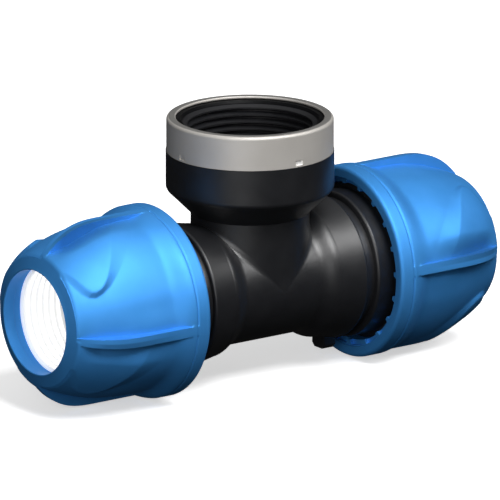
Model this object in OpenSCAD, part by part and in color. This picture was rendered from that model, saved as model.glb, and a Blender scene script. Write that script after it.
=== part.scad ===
/* [Pipe] */
// Outside diameter of the pipe that both ends of the run take
pipe_d = 32; // [25:1:40]
// Radial room between pipe and socket
socket_gap = 0.25; // [0.1:0.05:0.5]
// Radial room between pipe and the seal and grip teeth before they are tightened
grip_gap = 0.1; // [0.05:0.05:0.3]
// Radial room between pipe and the mouth of the nut
mouth_gap = 0.45; // [0.3:0.05:1]

/* [Run of the body] */
// Diameter of the water way through the run and up the neck
flow_d = 26; // [20:0.5:29]
// Wall of the waist at the crossing, in the run and in the neck of the branch
waist_wall = 5.5; // [4:0.1:6]
// Distance from the branch axis to the stop that the pipe meets
stop_x = 18; // [16:0.5:20]
// Distance from the branch axis to where the waist starts to rise
shoulder_x = 13.5; // [12:0.5:16]
// Length of the rise from the waist to the socket
shoulder_len = 7; // [4:0.5:8]
// Wall of the socket where the rise ends
socket_wall = 4.95; // [4:0.05:5.5]
// How much thicker the wall of the socket is at its rim
rim_rise = 1.5; // [0.5:0.1:1.8]
// Distance from the branch axis to the rim of the socket
socket_end = 29.4; // [28:0.2:30]
// Depth of the groove between the socket and the collar
groove_depth = 1.6; // [0.5:0.1:2]
// Width of the groove
groove_w = 3.2; // [2:0.1:4]
// Width of the collar that ends under the nut
collar_w = 4.2; // [3:0.1:5]
// Length of the threaded spigot behind the collar
spigot_len = 19.8; // [19:0.2:21]
// Wall between the seal seat and the root of the spigot thread
spigot_wall = 3.1; // [2.4:0.1:3.6]
// Height of the coarse thread that joins spigot and nut
thread_h = 1.6; // [1:0.1:2]
// Radial room between the spigot thread and the nut
thread_gap = 0.3; // [0.2:0.05:0.5]
// Radius of the rounded edges of the socket rim and of the collar
edge_round = 0.9; // [0.5:0.1:1.2]

/* [Lug under each socket] */
// Length of the lug along the run
lug_len = 4.2; // [3:0.1:6]
// Width of the lug
lug_w = 6.4; // [4:0.1:9]
// How far the lug stands out from the rim of the socket
lug_h = 3.5; // [2:0.1:5]
// Distance from the rim of the socket back to the middle of the lug
lug_back = 1; // [0:0.1:3]
// Bevel along the outer edges of the lug
lug_bevel = 1.2; // [0.4:0.1:2]

/* [Branch of the body] */
// Wall of the branch socket outside the thread
branch_wall = 5.245; // [4.8:0.005:7]
// Major radius of the female thread, G 1 1/4
thread_r = 20.955; // [19:0.005:22]
// Height of the turns of the female thread
turn_h = 1.479; // [0.8:0.001:1.6]
// Distance from one turn to the next, 11 turns to the inch
turn_pitch = 2.309; // [2.2:0.001:2.5]
// Number of turns
turn_count = 9; // [7:1:9]
// Width of the flat on the crest of a turn
turn_flat = 0.4; // [0.3:0.05:0.6]
// Length of the neck between the waist of the run and the cone
neck_len = 4.1; // [3:0.1:6]
// Height of the step that carries the steel ring
ring_seat_z = 42.2; // [38:0.1:44]
// Radius of the rounded corner at the foot of the branch socket
foot_round = 2; // [1:0.1:3]
// Depth of the lead-in chamfer at the mouth of the thread
lead_in = 0.7; // [0.5:0.1:1.5]

/* [Steel ring] */
// Height of the steel ring
ring_h = 10.8; // [8:0.1:14]
// Thickness of the sheet that the ring is made of
ring_t = 0.95; // [0.6:0.05:1.2]
// How far the ring stands back from the face of the branch socket
ring_set_back = 0.2; // [0.1:0.05:0.6]
// Radial room between the steel ring and the plastic in it
ring_gap = 0.05; // [0.02:0.01:0.1]
// Width of the lip that is folded in over the top
lip_w = 2.9; // [2:0.1:3.5]
// Outer radius of the fold
fold_r = 1.1; // [1:0.05:1.5]
// Width of a staking mark near the lower edge
stake_w = 2.8; // [2:0.1:4]
// Height of a staking mark
stake_h = 1.5; // [1:0.1:2]
// Depth of a staking mark
stake_depth = 0.4; // [0.2:0.05:0.5]
// Height of the mark above the lower edge of the ring
stake_lift = 0.5; // [0.3:0.1:1]

/* [Seal] */
// Thickness of the cord of the O-ring
seal_cs = 3.8; // [3:0.1:4.2]
// Room round the seal in its seat
seal_gap = 0.15; // [0.05:0.05:0.3]
// Length of the seat beyond the seal, which the bush slides into
seat_extra = 3.1; // [2:0.1:4]

/* [Bush] */
// Thickness of the flange of the pressing bush
bush_flange = 2.2; // [1.5:0.1:3]
// How far the flange reaches out over the end of the spigot
bush_reach = 2.4; // [1:0.1:2.8]
// Room between the bush and the pieces beside it
bush_gap = 0.25; // [0.1:0.05:0.4]
// Room between the bush and the clinching ring that pushes it
stack_gap = 0.1; // [0.05:0.05:0.3]

/* [Clinching ring] */
// Length of the clinching ring
clinch_len = 15.9; // [14:0.1:17]
// Wall of the clinching ring at its thin end, over the sharp rings
clinch_wall = 1.5; // [1:0.1:2]
// Height of the sharp rings that bite the pipe
bite_h = 0.8; // [0.4:0.1:1.2]
// Number of sharp rings
bite_count = 7; // [4:1:9]
// Width of the slit that lets the ring close
slit_w = 3; // [1.5:0.1:5]
// Angle of the slit from the top
slit_angle = 215; // [0:5:360]
// Room between the cone of the ring and the cone of the nut
cone_gap = 0.25; // [0.1:0.05:0.4]

/* [Nut] */
// How far the nut reaches back over the collar of the body
nut_over = 0.3; // [0:0.1:2]
// How far the cone of the clinching ring stays inside the thread bore of the nut at its thick end
cone_step = 1.6; // [1:0.1:2.4]
// Wall of the panels over the thread
nut_wall = 2.4; // [2:0.1:3]
// Height of the rear band over the panels
band_h = 2.9; // [2:0.1:3.5]
// Width of the rear band
band_w = 5.7; // [4:0.1:7]
// Length of the soft slope from the rear band down to the panels
flare_len = 7; // [5:0.1:9]
// Radius of the rounded edges of the rear band
band_round = 1.2; // [0.5:0.1:1.4]
// Length of the nose, where the panels curve in to the mouth
nose_len = 24; // [20:0.5:26]
// Fullness of the panels in the nose, where 1 is a straight cone
nose_bend = 1.6; // [1.2:0.1:2.4]
// Fullness of the ribs in the nose
rib_bend = 3; // [2:0.1:4]
// Fullness of the leaves in the nose
leaf_bend = 2; // [1.6:0.1:2.4]
// Step that ribs and leaves keep over the panels at the mouth
edge_step = 0.7; // [0.3:0.1:1.2]
// Width of the sloping face round the mouth
mouth_w = 4.35; // [3:0.05:5]
// Depth of the slope of the mouth face
mouth_dip = 1.6; // [0.8:0.1:2.5]
// Depth of the lip at the mouth
lip_len = 4; // [3:0.1:5]
// Depth of the wider section behind the lip
relief_len = 2.7; // [2:0.1:3.5]
// Radial step from the lip to the wider section
relief_step = 0.8; // [0.4:0.1:1.2]
// Number of ribs and of leaves
rib_count = 4; // [3:1:6]
// Width of a rib
rib_w = 3.8; // [3:0.1:6]
// Angle of the first rib from the top
rib_phase = -5; // [-45:1:45]
// How far the ribs stay under the rear band
rib_drop = 0.2; // [0.1:0.05:0.6]
// How far the leaves stay under the ribs
leaf_drop = 0.3; // [0.2:0.05:1.2]
// Distance from the mouth to where a leaf leaves its rib
leaf_root = 28; // [24:0.5:30]
// Distance from the mouth to the tip of a leaf
leaf_tip = 9; // [7:0.5:11]
// Angle from a rib to the middle of its leaf
leaf_angle = 30; // [25:1:35]
// Radius of the rounded tip of a leaf
leaf_round = 3.2; // [2:0.1:4]
// Number of teeth inside the rear rim
tooth_count = 20; // [12:1:24]
// Width of a tooth
tooth_w = 1.6; // [1:0.1:2.4]
// Height of a tooth
tooth_h = 1.5; // [0.8:0.1:1.8]
// Depth of the toothed rim
tooth_depth = 1.8; // [1.2:0.1:3]
// How far the teeth stand back from the rear face
tooth_back = 0.6; // [0.3:0.1:1]
// How much wider the step behind the rear face is than the circle of the tooth roots
step_room = 0.3; // [0.1:0.1:0.6]
// Angle of the first tooth from the top
tooth_phase = -3; // [-9:1:9]

/* [Hidden] */

round_fn = 96;
curve_steps = 12;
cut = 1;
chamfer = 0.8;
fillet = 0.6;

pipe_r = pipe_d / 2;
flow_r = flow_d / 2;
waist_r = flow_r + waist_wall;
socket_r = pipe_r + socket_gap;
socket_r_in = socket_r + socket_wall;
socket_r_out = socket_r_in + rim_rise;
lug_x = socket_end - lug_back;
lug_r = socket_r_out + lug_h;

collar_x = socket_end + groove_w;
spigot_x = collar_x + collar_w;
spigot_end = spigot_x + spigot_len;
seat_x = spigot_end - seal_cs - seat_extra;

seal_r_in = pipe_r + grip_gap;
seal_r_mid = seal_r_in + seal_cs / 2;
seal_x = seat_x + seal_gap + seal_cs / 2;
seat_r = seal_r_in + seal_cs + seal_gap;

spigot_r = seat_r + spigot_wall;
nut_bore_r = spigot_r + thread_h + thread_gap;
panel_r = nut_bore_r + nut_wall;
band_r = panel_r + band_h;
rib_r = band_r - rib_drop;
leaf_r = rib_r - leaf_drop;

mouth_r_in = pipe_r + mouth_gap;
mouth_r_out = mouth_r_in + mouth_w;
relief_r = mouth_r_in + relief_step;

bush_r_in = socket_r + bush_gap;
bush_nose_x = seal_x + seal_cs / 2 + bush_gap;
bush_flange_x = spigot_end + bush_gap;
bush_end = bush_flange_x + bush_flange;
bush_r_nose = seat_r - bush_gap;
bush_r_flange = seat_r + bush_reach;

clinch_x = bush_end + stack_gap;
clinch_front = clinch_x + clinch_len;
bite_r = pipe_r + grip_gap;
bite_pitch = clinch_len / bite_count;
clinch_r_thin = bite_r + bite_h + clinch_wall;
clinch_r_thick = nut_bore_r - cone_gap - cone_step;

nut_rear = spigot_x - nut_over;
nut_front = clinch_front + cone_gap + relief_len + lip_len;
mouth_x = nut_front - mouth_dip;
nose_x = nut_front - nose_len;
flare_x = nut_rear + band_w;
tooth_root_r = nut_bore_r + tooth_h;
tooth_share = 360 / tooth_count;
tooth_angle = tooth_w / nut_bore_r * 180 / PI;

thread_top = ring_seat_z + ring_h - ring_t - ring_gap;
thread_len = turn_count * turn_pitch;
thread_foot = thread_top - lead_in - thread_len;
turn_base = turn_flat + 2 * turn_h * tan(27.5);
branch_r = thread_r + branch_wall;
neck_z = waist_r + neck_len;
branch_cone_z = neck_z + branch_r - waist_r;
ring_r_out = branch_r - ring_set_back;
ring_r_in = ring_r_out - ring_t;
rim_r = ring_r_in - ring_gap;
lip_r = ring_r_out - lip_w;

// Turns a shape that was revolved about Z so that it lies along the run, with its height along +X
module along_x() rotate([0, 90, 0]) children();

// Copies one end of the run to the left, turned half round the branch axis
module at_left() rotate([0, 0, 180]) children();

// Revolves an outline of [distance along the run, radius] points about the run axis
module turned(points) {
    along_x() rotate_extrude($fn = round_fn) polygon([for (p = points) [p[1], p[0]]]);
}

// Points on a rounded corner: centre, radius, first angle and last angle
function arc(c, r, a0, a1, steps) =
    [for (i = [0:steps]) let (a = a0 + (a1 - a0) * i / steps) [c[0] + r * cos(a), c[1] + r * sin(a)]];

// Radius of a skin that runs straight and then curves in to the mouth, at the share t of the nose
function nose_r(r0, r1, power, t) = r0 - (r0 - r1) * pow(t, power);

// Outline of the curved nose, from its start to the mouth
function nose(r0, r1, power) =
    [for (i = [0:curve_steps]) let (t = i / curve_steps)
        [nose_x + (mouth_x - nose_x) * t, nose_r(r0, r1, power, t)]];

// Smooth rise between two radii, as points along the run
function rise(x0, x1, r0, r1) =
    [for (i = [0:curve_steps]) let (t = i / curve_steps)
        [x0 + (x1 - x0) * t, r0 + (r1 - r0) * (1 - cos(180 * t)) / 2]];

// Outer form of one end of the run, from the branch axis to the end of the spigot
function run_outline() = concat(
    [[-cut, 0], [-cut, waist_r]],
    rise(shoulder_x, shoulder_x + shoulder_len, waist_r, socket_r_in),
    arc([socket_end - edge_round, socket_r_out - edge_round], edge_round, 90, 0, 4),
    [[socket_end, socket_r_out - groove_depth],
     [collar_x, socket_r_out - groove_depth]],
    arc([collar_x + edge_round, spigot_r - edge_round], edge_round, 180, 90, 4),
    [[spigot_end - chamfer, spigot_r],
     [spigot_end, spigot_r - chamfer],
     [spigot_end, 0]]);

// Lug on the underside of a socket
module lug() {
    half = lug_w / 2;
    root = (socket_r + socket_r_in) / 2;
    translate([lug_x + lug_len / 2, 0, 0]) rotate([0, -90, 0]) linear_extrude(lug_len)
        polygon([[-root, -half], [lug_bevel - lug_r, -half], [-lug_r, lug_bevel - half],
                 [-lug_r, half - lug_bevel], [lug_bevel - lug_r, half], [-root, half]]);
}

// Outer form of the run on the right side
module half_run() {
    turned(run_outline());
    lug();
}

// Outer form of the neck and of the branch socket
module branch_form() {
    rotate_extrude($fn = round_fn) polygon(concat(
        [[0, 0], [waist_r, 0], [waist_r, neck_z]],
        arc([branch_r - foot_round, branch_cone_z + foot_round * tan(22.5)], foot_round, -45, 0, 4),
        [[branch_r, ring_seat_z],
         [rim_r, ring_seat_z],
         [rim_r, thread_top],
         [0, thread_top]]));
}

// Socket, seal seat and lead-in of one end of the run
module half_run_bore() {
    turned([[stop_x, 0], [stop_x, socket_r], [seat_x, socket_r], [seat_x, seat_r],
            [spigot_end - chamfer, seat_r], [spigot_end + cut, seat_r + chamfer + cut],
            [spigot_end + cut, 0]]);
}

// Outline of the turns of the female thread, drawn as rings, from the foot of the thread upwards
function turns() = [for (i = [0:turn_count - 1]) let (z = thread_foot + (i + 0.5) * turn_pitch)
    each [[thread_r, z - turn_base / 2], [thread_r - turn_h, z - turn_flat / 2],
          [thread_r - turn_h, z + turn_flat / 2], [thread_r, z + turn_base / 2]]];

// Water way of the neck and bore of the female thread
module branch_bore() {
    rotate_extrude($fn = round_fn) polygon(concat(
        [[0, 0], [flow_r, 0], [flow_r, thread_foot - (thread_r - flow_r)], [thread_r, thread_foot]],
        turns(),
        [[thread_r, thread_top - lead_in],
         [thread_r + lead_in, thread_top], [thread_r + lead_in, thread_top + cut],
         [0, thread_top + cut]]));
}

module tee_body() {
    color([0.15, 0.15, 0.16])
    difference() {
        union() {
            half_run();
            at_left() half_run();
            branch_form();
        }
        translate([-stop_x - cut, 0, 0]) along_x() cylinder(r = flow_r, h = 2 * (stop_x + cut), $fn = round_fn);
        half_run_bore();
        at_left() half_run_bore();
        branch_bore();
    }
}

// Steel ring: a wall with a rounded fold and a lip over the top of the branch
module branch_ring() {
    top = ring_seat_z + ring_h;
    color([0.69, 0.67, 0.65])
    difference() {
        rotate_extrude($fn = round_fn) polygon(concat(
            [[ring_r_in, ring_seat_z], [ring_r_out, ring_seat_z]],
            arc([ring_r_out - fold_r, top - fold_r], fold_r, 0, 90, 6),
            arc([lip_r + ring_t / 2, top - ring_t / 2], ring_t / 2, 90, 270, 6),
            [[ring_r_in, top - ring_t]]));
        for (a = [0:90:270])
            rotate([0, 0, a])
                translate([ring_r_out - stake_depth, -stake_w / 2, ring_seat_z + stake_lift])
                    cube([ring_t + cut, stake_w, stake_h]);
    }
}

// O-ring in its seat on the right side
module seal() {
    color([0.08, 0.08, 0.08])
    translate([seal_x, 0, 0]) along_x()
        rotate_extrude($fn = round_fn) translate([seal_r_mid, 0]) circle(d = seal_cs, $fn = 32);
}

// Pressing bush on the right side: a nose behind the seal and a flange before the spigot
module bush() {
    color([0.2, 0.2, 0.22])
    turned([[bush_nose_x, bush_r_in], [bush_nose_x, bush_r_nose], [bush_flange_x, bush_r_nose],
            [bush_flange_x, bush_r_flange], [bush_end, bush_r_flange], [bush_end, bush_r_in]]);
}

// Inside of the clinching ring: rings with a steep side towards the mouth
function bites() = [for (i = [0:bite_count - 1]) let (x = clinch_x + i * bite_pitch)
    each [[x, bite_r + bite_h], [x + bite_pitch * 0.8, bite_r], [x + bite_pitch * 0.9, bite_r]]];

// Split clinching ring on the right side
module clinch_ring() {
    color([0.93, 0.93, 0.92])
    difference() {
        turned(concat(bites(), [[clinch_front, bite_r + bite_h], [clinch_front, clinch_r_thin],
                                [clinch_x + fillet, clinch_r_thick], [clinch_x, clinch_r_thick - fillet]]));
        rotate([slit_angle, 0, 0])
            translate([clinch_x - cut, -slit_w / 2, 0]) cube([clinch_len + 2 * cut, slit_w, nut_bore_r]);
    }
}

// Plain skin of the nut: rear band, soft slope, panels and nose
function panel_outline() = concat(
    [[nut_rear, 0]],
    arc([nut_rear + band_round, band_r - band_round], band_round, 180, 90, 4),
    rise(flare_x, flare_x + flare_len, band_r, panel_r),
    nose(panel_r, mouth_r_out, nose_bend),
    [[nut_front, mouth_r_in], [nut_front, 0]]);

// Skin that a raised form reaches, from the rear band to the mouth
function raised_outline(r, r_mouth, power) = concat(
    [[nut_rear + band_w / 2, 0], [nut_rear + band_w / 2, r]],
    nose(r, r_mouth, power),
    [[mouth_x, 0]]);

// Quadratic curve through three control points
function bend(a, b, c, steps) = [for (i = [0:steps]) let (t = i / steps)
    a * (1 - t) * (1 - t) + b * 2 * t * (1 - t) + c * t * t];

// Outline of a leaf, laid flat: along the run, and across with the tip at the positive side
function leaf_outline() = let (
    side = leaf_r * sin(leaf_angle),
    tip = [nut_front - leaf_tip, side - leaf_round],
    root = [nut_front - leaf_root, -side])
    concat(
        bend(root, [root[0] + (tip[0] - root[0]) * 0.45, tip[1] * 0.75],
             tip + leaf_round * [cos(130), sin(130)], 8),
        arc(tip, leaf_round, 120, 0, 8),
        bend(tip + leaf_round * [cos(-15), sin(-15)], [nut_front - leaf_tip * 0.4, side * 0.35],
             [nut_front, 0], 5),
        [[nut_front, -side]]);

// Ribs along the nut
module ribs() {
    intersection() {
        turned(raised_outline(rib_r, mouth_r_out + edge_step, rib_bend));
        for (i = [0:rib_count - 1])
            rotate([rib_phase + i * 360 / rib_count, 0, 0])
                translate([nut_rear, -rib_w / 2, 0]) cube([nut_front - nut_rear, rib_w, band_r]);
    }
}

// Raised leaves, each beside its rib, clockwise as seen from the mouth
module leaves() {
    intersection() {
        turned(raised_outline(leaf_r, mouth_r_out + edge_step, leaf_bend));
        for (i = [0:rib_count - 1])
            rotate([rib_phase - leaf_angle + i * 360 / rib_count, 0, 0])
                linear_extrude(band_r) polygon(leaf_outline());
    }
}

// Inside of the nut: tooth roots, thread bore, cone, wider section and lip
module nut_bore() {
    turned([[nut_rear - cut, 0],
            [nut_rear - cut, nut_bore_r],
            [clinch_x - cone_step, nut_bore_r],
            [clinch_x, clinch_r_thick + cone_gap],
            [clinch_front + cone_gap, clinch_r_thin + cone_gap],
            [clinch_front + cone_gap, relief_r],
            [nut_front - lip_len, relief_r],
            [nut_front - lip_len, mouth_r_in],
            [nut_front + cut, mouth_r_in],
            [nut_front + cut, 0]]);
}

// Step in the rear rim that the teeth stand back behind
module rim_step() {
    turned([[nut_rear - cut, 0], [nut_rear - cut, tooth_root_r + step_room],
            [nut_rear + tooth_back, tooth_root_r + step_room], [nut_rear + tooth_back, 0]]);
}

// One gap between two teeth of the rear rim
module tooth_gap() {
    translate([nut_rear - cut, 0, 0]) along_x()
        rotate_extrude(angle = tooth_share - tooth_angle, $fn = round_fn)
            translate([nut_bore_r - cut, 0]) square([tooth_root_r - nut_bore_r + cut, tooth_depth + cut]);
}

// Nut on the right side
module nut() {
    color([0.25, 0.6, 0.93])
    difference() {
        union() {
            turned(panel_outline());
            ribs();
            leaves();
        }
        nut_bore();
        rim_step();
        for (i = [0:tooth_count - 1])
            rotate([tooth_phase + tooth_angle / 2 + i * tooth_share, 0, 0]) tooth_gap();
    }
}

module right_seal() seal();
module right_bush() bush();
module right_clinch_ring() clinch_ring();
module right_nut() nut();
module left_seal() at_left() seal();
module left_bush() at_left() bush();
module left_clinch_ring() at_left() clinch_ring();
module left_nut() at_left() nut();

tee_body();
branch_ring();
left_seal();
left_bush();
left_clinch_ring();
left_nut();
right_seal();
right_bush();
right_clinch_ring();
right_nut();
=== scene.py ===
"""Dresses the compression pipe tee: finishes, nut mouldings, threads, crease fillets and a plain studio."""
import logging
import math
from dataclasses import dataclass, field
from enum import Enum
from typing import ClassVar

import bpy
import numpy as np
from mathutils import Matrix, Vector


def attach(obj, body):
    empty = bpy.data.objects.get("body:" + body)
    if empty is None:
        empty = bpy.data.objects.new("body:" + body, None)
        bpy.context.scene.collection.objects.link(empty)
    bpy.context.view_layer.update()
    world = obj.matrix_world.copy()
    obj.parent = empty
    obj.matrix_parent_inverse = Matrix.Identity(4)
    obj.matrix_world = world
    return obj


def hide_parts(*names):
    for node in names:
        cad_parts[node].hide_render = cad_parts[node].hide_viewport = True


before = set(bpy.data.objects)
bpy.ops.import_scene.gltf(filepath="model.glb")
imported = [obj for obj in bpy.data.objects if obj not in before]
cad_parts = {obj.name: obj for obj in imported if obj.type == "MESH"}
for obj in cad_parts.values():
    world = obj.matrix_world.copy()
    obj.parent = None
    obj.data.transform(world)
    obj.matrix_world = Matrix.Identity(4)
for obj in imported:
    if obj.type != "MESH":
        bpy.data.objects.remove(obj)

LOG = logging.getLogger("pipe_tee")
MM = 0.001
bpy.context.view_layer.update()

Material = bpy.types.Material
Object = bpy.types.Object
Socket = bpy.types.NodeSocket
Span = tuple[float, float]
Triple = tuple[float, float, float]


class End(Enum):
    """The two ends of the run, with the turn about the branch axis that reaches each."""

    RIGHT = ("right", 0.0)
    LEFT = ("left", math.pi)

    @property
    def word(self) -> str:
        """Name of the end, as the CAD nodes have it.

        Returns:
            The name.
        """
        return self.value[0]

    @property
    def turn(self) -> float:
        """Turn about +Z from the right end to this end.

        Returns:
            The turn in radians.
        """
        return self.value[1]


# modelling by hand


class Bench:
    """Workbench: starts, shapes and finishes a mesh with Blender's own editing tools."""

    @staticmethod
    def clear_selection() -> None:
        """Leave edit mode and select nothing."""
        if bpy.context.object and bpy.context.object.mode != "OBJECT":
            bpy.ops.object.mode_set(mode="OBJECT")
        bpy.ops.object.select_all(action="DESELECT")

    @staticmethod
    def pick(piece: Object) -> None:
        """Leave edit mode and select one piece alone.

        Args:
            piece: the piece.
        """
        Bench.clear_selection()
        piece.select_set(True)
        bpy.context.view_layer.objects.active = piece

    @staticmethod
    def weld(reach: float) -> None:
        """Merge close vertices of the mesh in edit mode and turn its faces the same way.

        Args:
            reach: distance in metres under which two vertices are merged.
        """
        bpy.ops.mesh.select_all(action="SELECT")
        bpy.ops.mesh.remove_doubles(threshold=reach)
        bpy.ops.mesh.normals_make_consistent(inside=False)

    @staticmethod
    def begin(name: str) -> Object:
        """Add a small plane, enter edit mode and merge it to one vertex at the origin.

        Args:
            name: name of the new piece.

        Returns:
            The new object, in edit mode, with its one vertex selected.
        """
        Bench.clear_selection()
        bpy.ops.mesh.primitive_plane_add(size=0.001, location=(0, 0, 0))
        piece = bpy.context.object
        piece.name = piece.data.name = name
        bpy.ops.object.mode_set(mode="EDIT")
        bpy.ops.mesh.select_all(action="SELECT")
        bpy.ops.mesh.merge(type="CENTER")
        return piece

    @staticmethod
    def chain(points: list[Triple]) -> None:
        """Pull the selected vertex along a closed row of points by extruding it.

        Args:
            points: places of the row, in millimetres.
        """
        here = Vector(points[0]) * MM
        bpy.ops.transform.translate(value=here)
        for point in points[1:]:
            there = Vector(point) * MM
            bpy.ops.mesh.extrude_region_move(TRANSFORM_OT_translate={"value": there - here})
            here = there
        mesh = bpy.context.object.data
        bpy.ops.mesh.select_all(action="DESELECT")
        bpy.ops.object.mode_set(mode="OBJECT")
        mesh.vertices[0].select = mesh.vertices[-1].select = True
        bpy.ops.object.mode_set(mode="EDIT")
        bpy.ops.mesh.edge_face_add()

    @staticmethod
    def spin(axis: Triple, steps: int) -> None:
        """Spin the row in edit mode a full turn about an axis through the origin.

        Args:
            axis: direction of the axis.
            steps: number of steps in the turn.
        """
        bpy.ops.mesh.select_all(action="SELECT")
        bpy.ops.mesh.spin(steps=steps, angle=math.tau, center=(0, 0, 0), axis=axis)
        Bench.weld(2e-6)

    @staticmethod
    def end(piece: Object, crease: float) -> Object:
        """Leave edit mode and shade the piece smooth below an angle.

        Args:
            piece: the piece in hand.
            crease: angle above which an edge stays sharp, in degrees.

        Returns:
            The same piece.
        """
        Bench.pick(piece)
        bpy.ops.object.shade_smooth_by_angle(angle=math.radians(crease))
        return piece

    @staticmethod
    def places(piece: Object) -> np.ndarray:
        """Vertices of a piece.

        Args:
            piece: the piece.

        Returns:
            Their places in millimetres.
        """
        flat = np.empty(len(piece.data.vertices) * 3)
        piece.data.vertices.foreach_get("co", flat)
        return flat.reshape(-1, 3) / MM

    @staticmethod
    def put(piece: Object, places: np.ndarray) -> None:
        """Move the vertices of a piece.

        Args:
            piece: the piece.
            places: new places, in millimetres.
        """
        piece.data.vertices.foreach_set("co", (places * MM).ravel())
        piece.data.update()

    @staticmethod
    def copy_turned(piece: Object, name: str, angle: float) -> Object:
        """Copy a piece with its own mesh and turn the mesh about +Z.

        Args:
            piece: the piece to copy.
            name: name of the copy.
            angle: turn in radians.

        Returns:
            The copy.
        """
        Bench.pick(piece)
        bpy.ops.object.duplicate(linked=False)
        twin = bpy.context.object
        twin.name = twin.data.name = name
        twin.data.transform(Matrix.Rotation(angle, 4, "Z"))
        twin.data.update()
        return twin


# finishes


class Painter:
    """Draws the nodes of one material, on Object coordinates, or of the world."""

    NOISE_ROUGHNESS: ClassVar[float] = 0.55
    BUMP_DEPTH: ClassVar[float] = 0.0002

    def __init__(self, owner: Material | bpy.types.World, shader: str = "Principled BSDF") -> None:
        """Take up the nodes.

        Args:
            owner: material or world that has them.
            shader: name of its surface shader.
        """
        owner.use_nodes = True
        self.tree = owner.node_tree
        self.shader = self.tree.nodes[shader]

    def add(self, kind: str) -> bpy.types.Node:
        """Add a node.

        Args:
            kind: what it is.

        Returns:
            The node.
        """
        return self.tree.nodes.new(f"ShaderNode{kind}")

    def link(self, source: Socket, target: Socket) -> None:
        """Join two sockets.

        Args:
            source: an output.
            target: an input.
        """
        self.tree.links.new(source, target)

    def surface(self, name: str, value: Socket | tuple[float, ...] | float) -> None:
        """Set an input of the surface shader.

        Args:
            name: name of the input.
            value: its value, or a socket to join to it.
        """
        if isinstance(value, Socket):
            self.link(value, self.shader.inputs[name])
        else:
            self.shader.inputs[name].default_value = value

    def place(self) -> Socket:
        """Add the place on the object.

        Returns:
            Socket with the place.
        """
        return self.add("TexCoord").outputs["Object"]

    def along(self, axis: str, place: Socket) -> Socket:
        """Take one axis of a place.

        Args:
            axis: its letter.
            place: socket with the place.

        Returns:
            Socket with the number.
        """
        split = self.add("SeparateXYZ")
        self.link(place, split.inputs[0])
        return split.outputs[axis]

    def ramp(self, value: Socket, span: Span, colours: tuple[Triple, Triple]) -> Socket:
        """Turn a value into a colour between two.

        Args:
            value: socket with the value.
            span: values at which the first and the second colour are reached.
            colours: the two colours.

        Returns:
            Socket with the colour.
        """
        ramp = self.add("ValToRGB")
        for stop, place, colour in zip(ramp.color_ramp.elements, span, colours):
            stop.position = place
            stop.color = (*colour, 1)
        self.link(value, ramp.inputs["Fac"])
        return ramp.outputs["Color"]

    def noise(self, size_mm: float, detail: float, squeeze: Triple = (1, 1, 1)) -> Socket:
        """Add a noise.

        Args:
            size_mm: size of its cells.
            detail: octaves.
            squeeze: scale along each axis, to stretch the pattern.

        Returns:
            Socket with the noise, from 0 to 1.
        """
        mapping = self.add("Mapping")
        mapping.inputs["Scale"].default_value = squeeze
        self.link(self.place(), mapping.inputs["Vector"])
        noise = self.add("TexNoise")
        noise.inputs["Scale"].default_value = 1.0 / (size_mm * MM)
        noise.inputs["Detail"].default_value = detail
        noise.inputs["Roughness"].default_value = self.NOISE_ROUGHNESS
        self.link(mapping.outputs["Vector"], noise.inputs["Vector"])
        return noise.outputs["Fac"]

    def spread(self, value: Socket, span: Span, out: Span = (0.0, 1.0)) -> Socket:
        """Map a value from one range to another and hold it there.

        Args:
            value: socket with the value.
            span: range that it comes from.
            out: range that it goes to.

        Returns:
            Socket with the result.
        """
        spread = self.add("MapRange")
        for name, end in zip(("From Min", "From Max", "To Min", "To Max"), (*span, *out)):
            spread.inputs[name].default_value = end
        self.link(value, spread.inputs["Value"])
        return spread.outputs["Result"]

    def maths(self, operation: str, first: Socket, second: Socket | float) -> Socket:
        """Add one sum.

        Args:
            operation: what it does.
            first: socket with the first value.
            second: socket with the second value, or the value itself.

        Returns:
            Socket with the result.
        """
        maths = self.add("Math")
        maths.operation = operation
        self.link(first, maths.inputs[0])
        if isinstance(second, Socket):
            self.link(second, maths.inputs[1])
        else:
            maths.inputs[1].default_value = second
        return maths.outputs[0]

    def bump(self, height: Socket, strength: float) -> None:
        """Lay a fine bump over the surface and the bump that it has.

        Args:
            height: socket with its height.
            strength: its strength.
        """
        bump = self.add("Bump")
        bump.inputs["Strength"].default_value = strength
        bump.inputs["Distance"].default_value = self.BUMP_DEPTH
        self.link(height, bump.inputs["Height"])
        if self.shader.inputs["Normal"].is_linked:
            self.link(self.shader.inputs["Normal"].links[0].from_socket, bump.inputs["Normal"])
        self.surface("Normal", bump.outputs["Normal"])

    def blend(self, share: Socket, colour: Triple, way: str = "MIX") -> None:
        """Lay a second colour over the base colour, or multiply it in.

        Args:
            share: socket with the share of the second colour.
            colour: the second colour.
            way: how the two are blended.
        """
        mix = self.add("Mix")
        mix.data_type = "RGBA"
        mix.blend_type = way
        mix.inputs["B"].default_value = (*colour, 1)
        self.link(share, mix.inputs["Factor"])
        self.link(self.shader.inputs["Base Color"].links[0].from_socket, mix.inputs["A"])
        self.surface("Base Color", mix.outputs["Result"])


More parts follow.
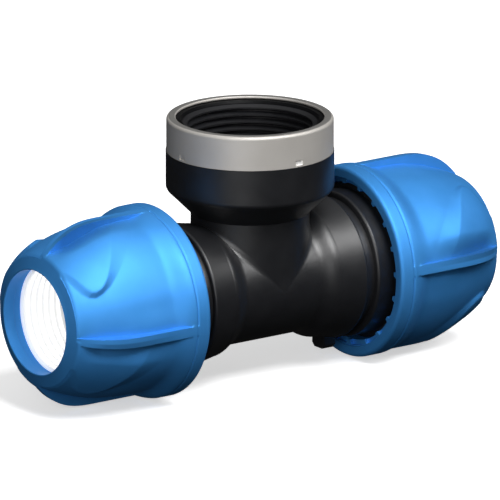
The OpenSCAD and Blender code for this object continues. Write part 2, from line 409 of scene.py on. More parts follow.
@dataclass(frozen=True)
class Finish:
    """A surface: colour, gloss and fine relief.

    Args:
        name: name of the material.
        colour: main colour, linear.
        tint: second colour, which soft clouds mix in.
        cloud_mm: size of the clouds.
        rough: roughness at its lowest and highest.
        grain_mm: size of the fine grain.
        grain: strength of the grain's bump.
        metal: how far it is a metal.
        specular: specular level.
        glow: strength of a painted glow in the tint colour, which lifts the white plastic to plain white.
    """

    name: str
    colour: Triple
    tint: Triple
    cloud_mm: float = 9.0
    rough: Span = (0.36, 0.46)
    grain_mm: float = 0.35
    grain: float = 0.05
    metal: float = 0.0
    specular: float = 0.5
    glow: float = 0.0

    CLOUD_SPAN: ClassVar[Span] = (0.32, 0.72)
    GLOSS_SPAN: ClassVar[Span] = (0.3, 0.7)
    GLOSS_SIZE: ClassVar[float] = 0.6

    def make(self) -> Material:
        """Build the material.

        Returns:
            The material, ready for a slot.
        """
        material = bpy.data.materials.new(self.name)
        painter = Painter(material)
        painter.surface("Metallic", self.metal)
        painter.surface("Specular IOR Level", self.specular)
        # the tint also colours the emission: with glow above zero this is a painted glow
        painter.surface("Emission Color", (*self.tint, 1))
        painter.surface("Emission Strength", self.glow)
        self.paint(painter)
        return material

    def paint(self, painter: Painter) -> None:
        """Add clouds of colour, uneven gloss and moulded grain.

        Args:
            painter: draws the nodes of the material.
        """
        clouds = painter.noise(self.cloud_mm, 3.0)
        painter.surface("Base Color", painter.ramp(clouds, self.CLOUD_SPAN, (self.colour, self.tint)))
        gloss = painter.noise(self.cloud_mm * self.GLOSS_SIZE, 4.0)
        painter.surface("Roughness", painter.spread(gloss, self.GLOSS_SPAN, self.rough))
        painter.bump(painter.noise(self.grain_mm, 5.0), self.grain)


@dataclass(frozen=True)
class SheetSteel(Finish):
    """Stainless sheet whose rolling lines run round the ring.

    Args:
        line_mm: size of the rolling lines.
        line_squeeze: scale along each axis that draws the noise out into lines.
        line_bump: strength of the lines' bump.
        lip: heights in millimetres where the painted shade on the top of the lip begins and where it is
            darkest.
        lip_painted_shade_colour: colour of the painted shade on the top of the lip.
        mark_radius: radius in millimetres under which a place lies in a staking mark.
        mark_top: height under which the marks lie.
        mark_from: place along the run from which their floors get the painted highlight.
        mark_painted_highlight_colour: colour of the painted highlight on the floor of a mark.
    """

    line_mm: float = 1.4
    line_squeeze: Triple = (1, 1, 14)
    line_bump: float = 0.1
    lip: Span = (52.86, 52.97)
    lip_painted_shade_colour: Triple = (0.22, 0.215, 0.205)
    mark_radius: float = 25.78
    mark_top: float = 45.0
    mark_from: float = -3.0
    mark_painted_highlight_colour: Triple = (0.95, 0.94, 0.92)

    def paint(self, painter: Painter) -> None:
        """Add the base look, fine lines round the ring, painted shade on the top of the lip and painted
        highlights on the floors of the marks.

        Args:
            painter: draws the nodes of the material.
        """
        super().paint(painter)
        painter.bump(painter.noise(self.line_mm, 6.0, self.line_squeeze), self.line_bump)
        # painted shade: the top of the lip is darkened by height alone
        height = painter.along("Z", painter.place())
        span = (self.lip[0] * MM, self.lip[1] * MM)
        painter.blend(painter.spread(height, span), self.lip_painted_shade_colour)
        # painted highlight: the floors of the staking marks on the right side are painted bright, as if
        # lit; those on the left keep the plain steel
        flat = painter.add("VectorMath")
        flat.operation = "MULTIPLY"
        flat.inputs[1].default_value = (1, 1, 0)
        painter.link(painter.place(), flat.inputs[0])
        reach = painter.add("VectorMath")
        reach.operation = "LENGTH"
        painter.link(flat.outputs["Vector"], reach.inputs[0])
        sunk = painter.maths("LESS_THAN", reach.outputs["Value"], self.mark_radius * MM)
        low = painter.maths("LESS_THAN", height, self.mark_top * MM)
        right = painter.maths("GREATER_THAN", painter.along("X", painter.place()), self.mark_from * MM)
        floor = painter.maths("MULTIPLY", painter.maths("MULTIPLY", sunk, low), right)
        painter.blend(floor, self.mark_painted_highlight_colour)


@dataclass(frozen=True)
class SocketPlastic(Finish):
    """Moulded plastic that is less glossy round the mouth of the branch and carries painted shade there.

    Args:
        mouth: heights in millimetres where the surface begins to be dull and shaded and where it is dullest
            and darkest.
        mouth_specular: specular level there.
        mouth_painted_shade: share of the colour that the painted shade leaves there.
    """

    mouth: Span = (51.0, 51.2)
    mouth_specular: float = 0.1
    mouth_painted_shade: float = 0.35

    def paint(self, painter: Painter) -> None:
        """Add the base look and the duller mouth with its painted shade.

        Args:
            painter: draws the nodes of the material.
        """
        super().paint(painter)
        height = painter.along("Z", painter.place())
        span = (self.mouth[0] * MM, self.mouth[1] * MM)
        specular = painter.spread(height, span, (self.specular, self.mouth_specular))
        painter.surface("Specular IOR Level", specular)
        # painted shade: the rim and the first turn of the branch thread are darkened by height
        painter.blend(painter.spread(height, span), (self.mouth_painted_shade,) * 3, "MULTIPLY")


@dataclass(frozen=True)
class RibbedPlastic(Finish):
    """Moulded plastic with painted shade in the narrow hollows beside its ribs.

    Args:
        hollow: name of the attribute with the depth of the hollows, from 0 to 1.
        hollow_painted_shade: share of the colour that the painted shade leaves in the deepest place.
    """

    hollow: str = "hollow"
    hollow_painted_shade: float = 0.62

    def paint(self, painter: Painter) -> None:
        """Add the base look, with painted shade in the hollows.

        Args:
            painter: draws the nodes of the material.
        """
        super().paint(painter)
        # painted shade: the colour is darkened by the hollow's depth, stored on the mesh
        depth = painter.add("Attribute")
        depth.attribute_name = self.hollow
        painter.blend(depth.outputs["Fac"], (self.hollow_painted_shade,) * 3, "MULTIPLY")


@dataclass
class Finishes:
    """All the finishes of the tee, each made once.

    Args:
        body: black plastic of the body.
        nut: blue plastic of the nuts.
        grip: white plastic of the clinching rings.
        bush: black plastic of the bushes.
        seal: rubber of the seals.
        ring: steel of the branch ring.
    """

    # the body's finish paints shade into the branch mouth
    body: Material = field(default_factory=SocketPlastic(
        "black_moulded_plastic", (0.0060, 0.0064, 0.0078), (0.0078, 0.0082, 0.0098),
        rough=(0.36, 0.42), specular=0.75).make)
    # the nut's finish paints shade into the hollows beside the ribs
    nut: Material = field(default_factory=RibbedPlastic(
        "blue_moulded_plastic", (0.052, 0.290, 0.71), (0.060, 0.310, 0.75),
        rough=(0.57, 0.61), metal=0.66, specular=0.3).make)
    # the grip carries a painted glow, so the clinching rings read plain white
    grip: Material = field(default_factory=Finish(
        "white_acetal", (0.93, 0.93, 0.92), (0.96, 0.96, 0.95),
        rough=(0.34, 0.42), grain=0.03, glow=0.42).make)
    bush: Material = field(default_factory=Finish(
        "black_smooth_plastic", (0.024, 0.024, 0.027), (0.030, 0.030, 0.033),
        rough=(0.30, 0.38), grain=0.03).make)
    seal: Material = field(default_factory=Finish(
        "nitrile_rubber", (0.011, 0.011, 0.012), (0.016, 0.016, 0.017),
        rough=(0.50, 0.60), grain=0.12, specular=0.35).make)
    ring: Material = field(default_factory=SheetSteel(
        "stainless_sheet", (0.525, 0.502, 0.470), (0.565, 0.542, 0.510),
        cloud_mm=14.0, rough=(0.50, 0.58), metal=0.55).make)

    @staticmethod
    def dress(thing: Object, material: Material) -> None:
        """Give a thing one material.

        Args:
            thing: a piece or a CAD node.
            material: its material.
        """
        thing.data.materials.clear()
        thing.data.materials.append(material)


# nuts


@dataclass
class Nut:
    """Compression nut: four ribs with a petal beside each, a rear band and a toothed rim.

    Lengths are in millimetres, x runs along the run, depths are behind the front, angles are in
    degrees round the run. The relief is drawn on the fine grid of the lathed section.

    Args:
        columns: columns of the lathe's grid.
        row_step: spacing of its rows on the panels.
        nose_step: spacing of its rows towards the mouth.
        fine_step: spacing of its rows beside the line.
        fine_reach: how far they reach to each side of it.
        rear: x of the rear rim.
        rear_round: radius of its round edge.
        skin_rear: x of the first row of the skin.
        fine_rear: x from which the rows have the spacing of the nose.
        front: x of the front of the mouth ring.
        mouth: x where the skin meets the mouth face.
        nose: x from which ribs and petals fall away.
        barrel: x from which the panels fall away.
        bore: radius inside, over the spigot.
        bore_mid: x of a row in the middle of the bore.
        bore_front: x of the front of the bore.
        cone_rear: x and radius of the rear of the inner cone.
        cone_front: x and radius of its front.
        relief: radius of the relief behind the mouth ring.
        ring_depth: thickness of the mouth ring.
        ring_cut: bevel of the ring's inner corner.
        panel: radius of the panels before the relief is drawn.
        panel_power: how late the panels fall away.
        band: radius of the rear band.
        band_end: x of its front edge.
        flare_end: x where the flare of the panels into the band begins.
        line: x of the thin line round the band.
        line_depth: depth of the line.
        line_width: half width of the line.
        mouth_in: inner radius of the mouth ring.
        mouth_out: outer radius of the mouth face.
        edge: where before the mouth the skin rounds off, over what length and how deep.
        rib_phase: angle of the first rib from the top.
        rib_top: radius of the ribs.
        rib_power: how late the ribs fall away.
        rib_rise: height of a rib's end over the mouth face.
        rib_half: half width of a rib.
        rib_wall: width of a rib's steep side.
        swell: height of the swelling on the petal's side of a rib.
        near_fade: angles from the rib over which it fades.
        far_swell: height of the swelling on the other side.
        far_rise: angles over which it rises.
        swell_depth: depths behind the front over which both rise.
        leaf_top: radius that a petal may reach.
        leaf_power: how late it falls away.
        leaf_rise: its height over the mouth face.
        leaf_high: height of a petal over the panel at its rib.
        leaf_low: height of a petal over the panel at its end.
        leaf_fall: angles from the rib over which the height falls.
        leaf_merge: how softly the two limits of the height merge.
        ramp: width of a petal's ramp at the mouth and its gain further back.
        ramp_depth: depths over which it gains it.
        ramp_soft: share of the ramp that is rounded.
        dish: depth of the hollow beside a rib.
        dish_fade: arc lengths from the rib over which the hollow fades.
        dish_in: depths over which it begins.
        dish_out: depths over which it ends.
        teeth: number of teeth inside the rear rim.
        tooth_phase: angle of the first tooth.
        tooth_half: half width of a tooth, as an angle.
        tooth_depth: length of a tooth.
        tooth_height: height of a tooth.
        step: depth of the step behind the rim.
        step_room: room between the step and the roots of the gaps.
        step_cut: bevel of the step.
        rim_cut: bevel of the rear rim.
        crease: angle above which an edge stays sharp.
    """

    columns: int = 400
    row_step: float = 0.55
    nose_step: float = 0.27
    fine_step: float = 0.16
    fine_reach: float = 0.9
    rear: float = 36.5
    rear_round: float = 1.2
    skin_rear: float = 38.4
    fine_rear: float = 52.0
    front: float = 82.0
    mouth: float = 80.4
    nose: float = 58.0
    barrel: float = 50.0
    bore: float = 25.05
    bore_mid: float = 48.0
    bore_front: float = 57.55
    cone_rear: Span = (59.15, 23.45)
    cone_front: Span = (75.3, 18.65)
    relief: float = 17.25
    ring_depth: float = 4.0
    ring_cut: float = 0.25
    panel: float = 27.45
    panel_power: float = 2.42
    band: float = 30.3
    band_end: float = 41.8
    flare_end: float = 49.2
    line: float = 41.4
    line_depth: float = 0.3
    line_width: float = 0.32
    mouth_in: float = 16.45
    mouth_out: float = 20.8
    edge: Triple = (0.6, 0.65, 0.35)
    rib_phase: float = -5.0
    rib_top: float = 30.2
    rib_power: float = 3.0
    rib_rise: float = 0.2
    rib_half: float = 1.46
    rib_wall: float = 0.12
    swell: float = 1.8
    near_fade: Span = (6, 60)
    far_swell: float = 0.7
    far_rise: Span = (70, 88)
    swell_depth: Span = (9, 25)
    leaf_top: float = 29.9
    leaf_power: float = 1.9
    leaf_rise: float = 0.6
    leaf_high: float = 1.55
    leaf_low: float = 1.25
    leaf_fall: Span = (8, 42)
    leaf_merge: float = 0.5
    ramp: Span = (0.85, 2.6)
    ramp_depth: Span = (11, 26)
    ramp_soft: float = 0.2
    dish: float = 1.6
    dish_fade: Span = (1.6, 8.5)
    dish_in: Span = (2, 9)
    dish_out: Span = (16, 38)
    teeth: int = 20
    tooth_phase: float = -3.0
    tooth_half: float = 1.9
    tooth_depth: float = 1.8
    tooth_height: float = 1.5
    step: float = 0.6
    step_room: float = 0.3
    step_cut: float = 0.1
    rim_cut: float = 0.15
    crease: float = 42.0

    RIB_TURN: ClassVar[float] = 90.0
    NEAR: ClassVar[float] = 0.02
    COLUMN_GAP: ClassVar[float] = 0.01
    ROUND_STEPS: ClassVar[int] = 6
    LAST_ROWS: ClassVar[tuple[float, ...]] = (-0.55, -0.2, 0.05)
    MOUTH_CORNER: ClassVar[tuple[Span, ...]] = ((0.22, -0.35), (0.42, -0.9), (0.9, -2.2))
    RING_CORNER: ClassVar[tuple[Span, ...]] = ((-0.25, 0.75), (-0.03, 0.28), (-0.2, 0.0))

    def section(self) -> list[Triple]:
        """Section of the nut as a closed row of points, from the rear rim round the outside.

        Last rows and mouth corner are given from the mouth, the ring's corner from the front.

        Returns:
            Points in the plane of the run axis and +Z.
        """
        rear, front, mouth, bore = self.rear, self.front, self.mouth, self.bore
        pts: list[Span] = []
        for i in range(self.ROUND_STEPS + 1):
            angle = math.pi - math.pi / 2 * i / self.ROUND_STEPS
            pts.append((rear + self.rear_round + self.rear_round * math.cos(angle),
                        self.band - self.rear_round + self.rear_round * math.sin(angle)))
        x = self.skin_rear
        while x < self.fine_rear:
            pts.append((x, self.panel))
            x += self.fine_step if abs(x - self.line) < self.fine_reach else self.row_step
        while x < mouth + self.LAST_ROWS[0] - self.fine_step:
            pts.append((x, self.panel))
            x += self.nose_step
        pts += [(mouth + past, self.panel) for past in self.LAST_ROWS]
        pts += [(mouth + past, self.mouth_out + out) for past, out in self.MOUTH_CORNER]
        pts += [(front + past, self.mouth_in + out) for past, out in self.RING_CORNER]
        back = front - self.ring_depth
        pts += [(back + self.ring_cut, self.mouth_in), (back, self.mouth_in + self.ring_cut)]
        pts += [(back, self.relief), (self.cone_front[0], self.relief), self.cone_front, self.cone_rear]
        clear = bore + self.tooth_height + self.step_room
        root = rear + self.tooth_depth
        step = rear + self.step
        pts += [(self.bore_front, bore), (self.bore_mid, bore), (root + self.step_cut, bore), (root, bore)]
        pts += [(step + 2 * self.rim_cut, bore), (step, bore + self.NEAR), (step, clear - self.step_cut)]
        pts += [(step - self.step_cut, clear), (rear + self.rim_cut, clear), (rear, clear + self.rim_cut)]
        pts += [(rear, clear + self.rear_round)]
        return [(px, 0.0, pr) for px, pr in pts]

    def leaf_line(self) -> np.ndarray:
        """Outline of a petal, drawn as depth from the mouth and angle from its rib.

        Returns:
            Its corners, as depth and arc length.
        """
        rows = np.array([(31.0, -3.0), (27.6, 8.0), (23.2, 20.0), (18.8, 33.0), (15.4, 43.0), (12.8, 49.5),
                         (10.4, 53.6), (8.3, 55.2), (6.7, 54.0), (5.3, 50.0), (4.2, 44.0), (3.2, 37.0),
                         (2.0, 30.0), (-1.0, 22.0), (-4.0, 10.0), (-4.0, -3.0)])
        rows[:, 1] = self.arc(rows[:, 1])
        return rows

    @staticmethod
    def inside(outline: np.ndarray, u: np.ndarray, s: np.ndarray) -> np.ndarray:
        """Signed distance to an outline, positive inside.

        Args:
            outline: corners of the outline, in order.
            u: first coordinate of each place.
            s: second coordinate of each place.

        Returns:
            Distance in millimetres.
        """
        near = np.full(u.shape, 1e9)
        odd = np.zeros(u.shape, bool)
        for (u0, s0), (u1, s1) in zip(outline, np.roll(outline, -1, axis=0)):
            du, ds = u1 - u0, s1 - s0
            share = np.clip(((u - u0) * du + (s - s0) * ds) / (du * du + ds * ds), 0, 1)
            near = np.minimum(near, np.hypot(u - u0 - share * du, s - s0 - share * ds))
            if ds != 0:
                crosses = (s0 > s) != (s1 > s)
                odd ^= crosses & (u < u0 + (s - s0) / ds * du)
        return np.where(odd, near, -near)

    @staticmethod
    def ease(value: np.ndarray, low: np.ndarray | float, high: np.ndarray | float) -> np.ndarray:
        """Smooth step from 0 to 1.

        Args:
            value: number at each place.
            low: number where the step begins.
            high: number where it ends.

        Returns:
            The step at each place.
        """
        t = np.clip((value - low) / (high - low), 0, 1)
        return t * t * (3 - 2 * t)

    def hollow(self, depth: np.ndarray, arc: np.ndarray) -> np.ndarray:
        """Shape of the hollow that runs along the petal's side of every rib, which also weighs the painted
        shade there.

        Args:
            depth: distance behind the front of the nut.
            arc: distance round the nut from the middle of the rib.

        Returns:
            Share of the full depth at each place.
        """
        along = self.ease(depth, *self.dish_in) * (1 - self.ease(depth, *self.dish_out))
        return (1 - self.ease(arc, *self.dish_fade)) * along

    def skin(self, x: np.ndarray, phi: np.ndarray) -> np.ndarray:
        """Radius of the outer skin with band, panels, ribs and petals.

        Args:
            x: distance along the run.
            phi: angle from the top towards the viewer's side, in degrees.

        Returns:
            Radius at each place.
        """
        fall = np.clip((x - self.nose) / (self.mouth - self.nose), 0, 1)
        depth = self.front - x
        turn = np.mod(self.rib_phase - phi, self.RIB_TURN)
        barrel = np.clip((x - self.barrel) / (self.mouth - self.barrel), 0, 1)
        plain = self.panel - (self.panel - self.mouth_out) * barrel ** self.panel_power
        swell = self.swell * (1 - self.ease(turn, *self.near_fade))
        swell = swell + self.far_swell * self.ease(turn, *self.far_rise)
        plain = plain + swell * self.ease(depth, *self.swell_depth)
        flare = 1 - self.ease(x, self.band_end, self.flare_end)
        plain = plain + (self.band - plain) * flare
        plain = plain - self.line_depth * np.exp(-((x - self.line) / self.line_width) ** 2)
        radius = plain + self.petal(depth, turn, plain, fall)
        radius -= self.dish * self.hollow(depth, self.arc(turn))
        rib = self.rib_top - (self.rib_top - self.mouth_out - self.rib_rise) * fall ** self.rib_power
        rib = np.minimum(rib, self.band)
        off = np.abs(self.arc(np.where(turn > self.RIB_TURN / 2, turn - self.RIB_TURN, turn)))
        root = 1 - self.ease(off, self.rib_half, self.rib_half + self.rib_wall)
        return radius + np.maximum(rib - radius, 0) * root

    def arc(self, turn: np.ndarray) -> np.ndarray:
        """Arc length on the panels.

        Args:
            turn: angle in degrees.

        Returns:
            The length in millimetres.
        """
        return turn * (math.pi / 180 * self.panel)

    def petal(self, depth: np.ndarray, turn: np.ndarray, plain: np.ndarray, fall: np.ndarray) -> np.ndarray:
        """Height of the petals over the panels.

        Args:
            depth: distance behind the front of the nut.
            turn: angle from the last rib, in degrees.
            plain: radius of the panels.
            fall: how far along the fall to the mouth a place lies, from 0 to 1.

        Returns:
            Height at each place.
        """
        leaf = self.leaf_top - (self.leaf_top - self.mouth_out - self.leaf_rise) * fall ** self.leaf_power
        behind = (depth - self.ramp_depth[0]) / (self.ramp_depth[1] - self.ramp_depth[0])
        ramp = self.ramp[0] + self.ramp[1] * np.clip(behind, 0, 1)
        within = self.inside(self.leaf_line(), depth, self.arc(turn))
        weight = self.ramp_soft * self.ease(within, -ramp, ramp)
        weight = weight + (1 - self.ramp_soft) * np.clip(within / ramp / 2 + 0.5, 0, 1)
        height = self.leaf_high - (self.leaf_high - self.leaf_low) * self.ease(turn, *self.leaf_fall)
        merged = np.exp((plain - leaf) / self.leaf_merge) + np.exp(-height / self.leaf_merge)
        return np.maximum(-self.leaf_merge * np.log(merged), 0) * weight

    def rim(self, x: np.ndarray, phi: np.ndarray, radius: np.ndarray) -> np.ndarray:
        """Radius of the inner rim behind, cut back between the teeth.

        Args:
            x: distance along the run.
            phi: angle from the top, in degrees.
            radius: radius before the cut.

        Returns:
            Radius at each place.
        """
        share = 360.0 / self.teeth
        off = np.abs(np.mod(phi - self.tooth_phase + share / 2, share) - share / 2)
        gap = off > self.tooth_half
        low = (x < self.rear + self.tooth_depth + self.NEAR) & (radius < self.bore + self.tooth_height / 2)
        return np.where(gap & low, self.bore + self.tooth_height, radius)

    def crisp(self, at: np.ndarray) -> np.ndarray:
        """Move the columns of the lathe that lie next to a rib's edge onto that edge.

        Args:
            at: places of the vertices.

        Returns:
            The places with two columns close together at every edge of a rib.
        """
        phi = np.degrees(np.arctan2(-at[:, 1], at[:, 2]))
        radius = np.hypot(at[:, 1], at[:, 2])
        off = np.mod(phi - self.rib_phase + self.RIB_TURN / 2, self.RIB_TURN) - self.RIB_TURN / 2
        share = 360.0 / self.columns
        edge = math.degrees((self.rib_half - self.COLUMN_GAP) / self.panel)
        foot = math.degrees((self.rib_half + self.rib_wall + self.COLUMN_GAP) / self.panel)
        size = np.where(np.abs(np.abs(off) - edge) <= share / 2, edge, np.abs(off))
        size = np.where(np.abs(np.abs(off) - edge - share) <= share / 2, foot, size)
        turned = np.radians(phi - off + np.sign(off) * size)
        return np.stack([at[:, 0], -radius * np.sin(turned), radius * np.cos(turned)], 1)

    def build(self, name: str) -> Object:
        """Lathe the nut, draw its relief and store the weight of the painted shade in its hollows.

        Args:
            name: name of the piece.

        Returns:
            The right nut.
        """
        piece = Bench.begin(name)
        Bench.chain(self.section())
        Bench.spin((1, 0, 0), self.columns)
        bpy.ops.object.mode_set(mode="OBJECT")
        at = self.crisp(Bench.places(piece))
        radius = np.hypot(at[:, 1], at[:, 2])
        phi = np.degrees(np.arctan2(-at[:, 1], at[:, 2]))
        x = at[:, 0]
        outer = np.abs(radius - self.panel) < self.NEAR
        before, length, deep = self.edge
        edge = np.clip((x - (self.mouth - before)) / length, 0, 1)
        drawn = np.where(outer, self.skin(x, phi) - deep * edge ** 2, self.rim(x, phi, radius))
        scale = drawn / np.maximum(radius, 1e-6)
        at[:, 1] *= scale
        at[:, 2] *= scale
        Bench.put(piece, at)
        # painted shade weight: depth of the hollows, read by the nut's finish to darken them
        arc = self.arc(np.mod(self.rib_phase - phi, self.RIB_TURN))
        shade = piece.data.attributes.new("hollow", "FLOAT", "POINT")
        shade.data.foreach_set("value", np.where(outer, self.hollow(self.front - x, arc), 0.0))
        return Bench.end(piece, self.crease)

    def dress(self, finishes: Finishes) -> None:
        """Build both nuts, dress them and put them in place of the CAD nuts.

        Args:
            finishes: the finishes of the tee.
        """
        right = self.build("right_nut_moulding")
        left = Bench.copy_turned(right, "left_nut_moulding", End.LEFT.turn)
        for end, piece in ((End.RIGHT, right), (End.LEFT, left)):
            finishes.dress(piece, finishes.nut)
            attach(piece, f"{end.word}_nut")
            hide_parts(f"{end.word}_nut")
            LOG.info("nut built: %s, %d faces", piece.name, len(piece.data.polygons))


# threads


@dataclass
class Thread:
    """A helical ridge on a round wall about +Z, in millimetres.

    Args:
        name: name of the piece.
        foot: radius of the wall that carries it.
        crest: radius of its crest.
        pitch: rise in a turn.
        start: height where it begins.
        turns: number of turns.
        base: width of the ridge at the wall.
        top: width of the ridge at its crest.
        steps: steps in a turn.
        sunk: how deep its foot lies in the wall.
        fade_turns: share of a turn over which each end runs out.
        fade_least: share of its height that is left at the ends.
    """

    name: str
    foot: float
    crest: float
    pitch: float
    start: float
    turns: float
    base: float
    top: float
    steps: int = 96
    sunk: float = 0.15
    fade_turns: float = 0.33
    fade_least: float = 0.04

    def build(self) -> Object:
        """Draw the section of the ridge, screw it up the axis and close its ends.

        Returns:
            The ridge, about +Z.
        """
        under = self.foot - math.copysign(self.sunk, self.crest - self.foot)
        row = [(under, 0, self.start - self.base / 2), (self.foot, 0, self.start - self.base / 2),
               (self.crest, 0, self.start - self.top / 2), (self.crest, 0, self.start + self.top / 2),
               (self.foot, 0, self.start + self.base / 2), (under, 0, self.start + self.base / 2)]
        piece = Bench.begin(self.name)
        Bench.chain(row)
        Bench.pick(piece)
        screw = piece.modifiers.new("screw", "SCREW")
        screw.axis = "Z"
        screw.angle = math.tau * self.turns
        screw.screw_offset = self.pitch * MM * self.turns
        screw.steps = screw.render_steps = round(self.steps * self.turns)
        screw.use_merge_vertices = False
        bpy.ops.object.modifier_apply(modifier="screw")
        bpy.ops.object.mode_set(mode="EDIT")
        bpy.ops.mesh.select_mode(type="EDGE")
        bpy.ops.mesh.select_all(action="DESELECT")
        bpy.ops.mesh.select_non_manifold()
        bpy.ops.mesh.edge_face_add()
        Bench.weld(1e-6)
        bpy.ops.mesh.select_mode(type="VERT")
        bpy.ops.object.mode_set(mode="OBJECT")
        self.fade(piece)
        return piece

    def fade(self, piece: Object) -> None:
        """Let the ridge run out at both ends.

        Args:
            piece: the ridge.
        """
        at = Bench.places(piece)
        radius = np.hypot(at[:, 0], at[:, 1])
        angle = np.arctan2(at[:, 1], at[:, 0])
        rise = at[:, 2] - self.start
        count = np.round(rise / self.pitch - angle / math.tau)
        along = count + angle / math.tau
        run_out = np.minimum(along, self.turns - along) / self.fade_turns
        share = np.clip(run_out + self.fade_least, self.fade_least, 1)
        drawn = np.where((radius - self.foot) * (self.crest - self.foot) > 0,
                         self.foot + (radius - self.foot) * share, radius)
        at[:, 0] *= drawn / radius
        at[:, 1] *= drawn / radius
        Bench.put(piece, at)


@dataclass
class Threads:
    """Coarse threads of the two spigots; the solid carries the turns of the branch.

    Args:
        spigot: the thread of the right spigot, still about +Z.
        crease: angle above which an edge stays sharp.
    """

    spigot: Thread = field(default_factory=lambda: Thread(
        "right_spigot_thread", foot=23.15, crest=24.7, pitch=4.0, start=38.4, turns=4.2, base=2.6, top=1.3))
    crease: float = 50.0

    def dress(self, finishes: Finishes) -> None:
        """Build and dress the threads.

        Args:
            finishes: the finishes of the tee.
        """
        right = self.spigot.build()
        right.data.transform(Matrix.Rotation(math.pi / 2, 4, "Y"))
        for ridge in (right, Bench.copy_turned(right, "left_spigot_thread", End.LEFT.turn)):
            Bench.end(ridge, self.crease)
            finishes.dress(ridge, finishes.body)
            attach(ridge, "tee")
            LOG.info("thread built: %s, %d faces", ridge.name, len(ridge.data.polygons))


# body


@dataclass
class CreaseFillet:
    """Small round in the crease where the neck of the branch meets the waist of the run.

    Args:
        waist: radius of waist and neck.
        ball: radius of the round.
        along: steps along the crease.
        across: steps across it.
        wall: thickness of the piece.
        crease: angle above which an edge stays sharp.
    """

    waist: float = 18.5
    ball: float = 3.0
    along: int = 96
    across: int = 8
    wall: float = 0.25
    crease: float = 50.0

    def build(self, side: int, name: str) -> Object:
        """Bend a fine grid into the path of a ball that rolls along the crease, facing outwards.

        Args:
            side: 1 for the crease at +X, -1 for the other.
            name: name of the piece.

        Returns:
            The fillet.
        """
        Bench.clear_selection()
        bpy.ops.mesh.primitive_grid_add(x_subdivisions=self.along, y_subdivisions=self.across, size=2.0)
        piece = bpy.context.object
        piece.name = piece.data.name = name
        at = Bench.places(piece) * MM
        theta = (at[:, 0] + 1) / 2 * math.pi
        share = (at[:, 1] + 1) / 2
        far = self.waist + self.ball
        centre = np.stack([side * far * np.sin(theta), -far * np.cos(theta), far * np.sin(theta)], 1)
        shrink = self.waist / far
        on_run = centre * np.array([1, shrink, shrink])
        on_neck = centre * np.array([shrink, shrink, 1])
        chord = on_run + (on_neck - on_run) * share[:, None]
        out = chord - centre
        length = np.linalg.norm(out, axis=1, keepdims=True)
        Bench.put(piece, centre + out / np.maximum(length, 1e-9) * self.ball)
        Bench.pick(piece)
        bpy.ops.object.mode_set(mode="EDIT")
        Bench.weld(1e-5)
        bpy.ops.object.mode_set(mode="OBJECT")
        top = max(piece.data.polygons, key=lambda face: face.center.z)
        if top.normal.z < 0:
            piece.data.flip_normals()
        wall = piece.modifiers.new("wall", "SOLIDIFY")
        wall.thickness = self.wall * MM
        wall.offset = -1
        bpy.ops.object.modifier_apply(modifier="wall")
        return Bench.end(piece, self.crease)

    def dress(self, finishes: Finishes) -> None:
        """Build both fillets and dress them.

        Args:
            finishes: the finishes of the tee.
        """
        for side, name in ((1, "crease_fillet_right"), (-1, "crease_fillet_left")):
            piece = self.build(side, name)
            finishes.dress(piece, finishes.body)
            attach(piece, "tee")
            LOG.info("fillet built: %s", piece.name)


@dataclass
class CarriedNodes:
    """The CAD nodes and the finish of each, also of the nuts, which stay in the CAD model."""

    def dress(self, finishes: Finishes) -> None:
        """Give every CAD node its finish.

        Args:
            finishes: the finishes of the tee.
        """
        plan = {"tee_body": finishes.body, "branch_ring": finishes.ring}
        for end in End:
            plan[f"{end.word}_seal"] = finishes.seal
            plan[f"{end.word}_bush"] = finishes.bush
            plan[f"{end.word}_clinch_ring"] = finishes.grip
            plan[f"{end.word}_nut"] = finishes.nut
        for node, material in plan.items():
            finishes.dress(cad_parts[node], material)
            LOG.info("node dressed: %s", node)


# studio


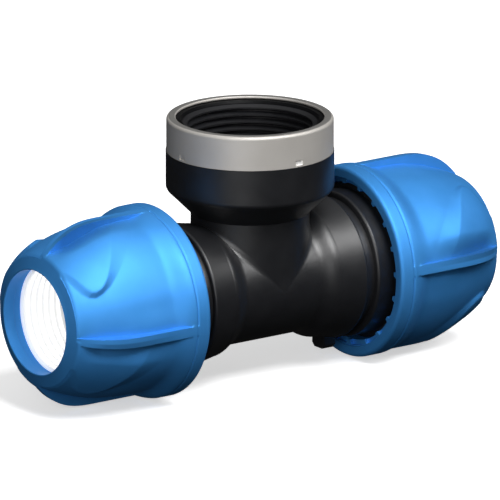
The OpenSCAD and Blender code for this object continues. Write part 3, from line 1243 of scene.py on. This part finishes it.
@dataclass
class Studio:
    """Pale floor, soft lights and a long-lens camera at the photograph's angle.

    Args:
        azimuth: turn of the camera round +Z, in degrees.
        elevation: its angle above the ground, in degrees.
        frame_mm: width of what it sees.
        sensor_mm: width of its sensor.
        lift_mm: how far the middle of the picture lies above the origin.
        distance: distance to the origin, in metres.
        floor_z: height of the floor, in millimetres.
        floor_edge: radius of its edge before it is drawn outwards, in metres.
        floor_inset: how far inside the edge its inner disc ends.
        floor_reach: how many times wider the edge is drawn.
        floor_colour: its colour.
        floor_glow: strength of its glow.
        sky_power: strength of the sky.
        sky_span: heights, from 0 below to 1 above, between which the sky grows bright.
        sky_low: brightness of the sky below them.
    """

    azimuth: float = -36.0
    elevation: float = 15.6
    frame_mm: float = 155.4
    sensor_mm: float = 36.0
    lift_mm: float = 9.33
    distance: float = 5.0
    floor_z: float = -30.9
    floor_edge: float = 2.0
    floor_inset: float = 1.2
    floor_reach: float = 20.0
    floor_colour: Triple = (0.92, 0.92, 0.92)
    floor_glow: float = 0.55
    sky_power: float = 0.30
    sky_span: Span = (0.68, 0.95)
    sky_low: float = 0.045

    def back(self) -> Vector:
        """Direction from the object to the camera.

        Returns:
            The direction, of length 1.
        """
        a, e = math.radians(self.azimuth), math.radians(self.elevation)
        return Vector((math.sin(a) * math.cos(e), -math.cos(a) * math.cos(e), math.sin(e)))

    def camera(self) -> None:
        """Add the camera."""
        lens = bpy.data.cameras.new("long_lens")
        lens.sensor_width = self.sensor_mm
        lens.lens = self.sensor_mm * self.distance / (self.frame_mm * MM)
        lens.clip_start, lens.clip_end = 0.05, 50.0
        eye = bpy.data.objects.new("camera", lens)
        bpy.context.scene.collection.objects.link(eye)
        back = self.back()
        turn = (-back).to_track_quat("-Z", "Y")
        up = turn @ Vector((0, 1, 0))
        eye.rotation_mode = "QUATERNION"
        eye.rotation_quaternion = turn
        eye.location = up * self.lift_mm * MM + back * self.distance
        bpy.context.scene.camera = eye

    def light(self, name: str, place: Triple, size: float, power: float) -> None:
        """Add a soft square light that looks at the object.

        Args:
            name: name of the light.
            place: where it stands, in metres.
            size: length of its side, in metres.
            power: its power in watts.
        """
        lamp = bpy.data.lights.new(name, "AREA")
        lamp.shape = "SQUARE"
        lamp.size = size
        lamp.energy = power
        holder = bpy.data.objects.new(name, lamp)
        bpy.context.scene.collection.objects.link(holder)
        holder.location = place
        holder.rotation_mode = "QUATERNION"
        holder.rotation_quaternion = (-Vector(place)).to_track_quat("-Z", "Y")

    def floor(self) -> None:
        """Add the wide pale floor, which neither lights the object from below nor shows in its gloss."""
        Bench.clear_selection()
        bpy.ops.mesh.primitive_circle_add(vertices=96, radius=self.floor_edge, fill_type="NGON",
                                          location=(0, 0, self.floor_z * MM))
        ground = bpy.context.object
        ground.name = ground.data.name = "pale_floor"
        bpy.ops.object.mode_set(mode="EDIT")
        bpy.ops.mesh.select_all(action="SELECT")
        bpy.ops.mesh.inset(thickness=self.floor_inset)
        bpy.ops.object.mode_set(mode="OBJECT")
        bpy.ops.object.transform_apply(location=True, rotation=True, scale=True)
        at = Bench.places(ground)
        rim = np.hypot(at[:, 0], at[:, 1]) * MM > self.floor_edge - self.floor_inset / 2
        at[rim, :2] *= self.floor_reach
        Bench.put(ground, at)
        material = bpy.data.materials.new("pale_paper")
        paper = Painter(material)
        paper.surface("Base Color", (*self.floor_colour, 1))
        paper.surface("Roughness", 0.9)
        paper.surface("Specular IOR Level", 0.05)
        paper.surface("Emission Color", (1, 1, 1, 1))
        paper.surface("Emission Strength", self.floor_glow)
        ground.data.materials.append(material)
        ground.visible_diffuse = False
        ground.visible_glossy = False

    def sky(self) -> None:
        """Light the world softly from above and hardly from below."""
        world = bpy.data.worlds.new("studio_world")
        bpy.context.scene.world = world
        painter = Painter(world, "Background")
        height = painter.along("Z", painter.add("TexCoord").outputs["Generated"])
        low = (self.sky_low,) * 3
        colour = painter.ramp(painter.spread(height, (-1.0, 1.0)), self.sky_span, (low, (1.0, 1.0, 1.0)))
        painter.surface("Color", colour)
        painter.surface("Strength", self.sky_power)

    def set_up(self) -> None:
        """Build the studio."""
        self.camera()
        self.floor()
        self.sky()
        self.light("key_light", place=(-0.10, -0.97, 1.31), size=0.8, power=29.5)
        self.light("right_light", place=(0.93, -0.92, 0.98), size=0.6, power=7.5)
        self.light("front_light", place=(-1.20, -0.95, 0.42), size=0.9, power=10.5)
        bpy.context.scene.view_settings.view_transform = "Standard"
        LOG.info("studio set up")


def main() -> None:
    """Build every sub-assembly in order."""
    logging.basicConfig(level=logging.INFO, format="%(name)s: %(message)s")
    finishes = Finishes()
    Studio().set_up()
    CarriedNodes().dress(finishes)
    CreaseFillet().dress(finishes)
    Threads().dress(finishes)
    Nut().dress(finishes)


if __name__ == "__main__":
    main()
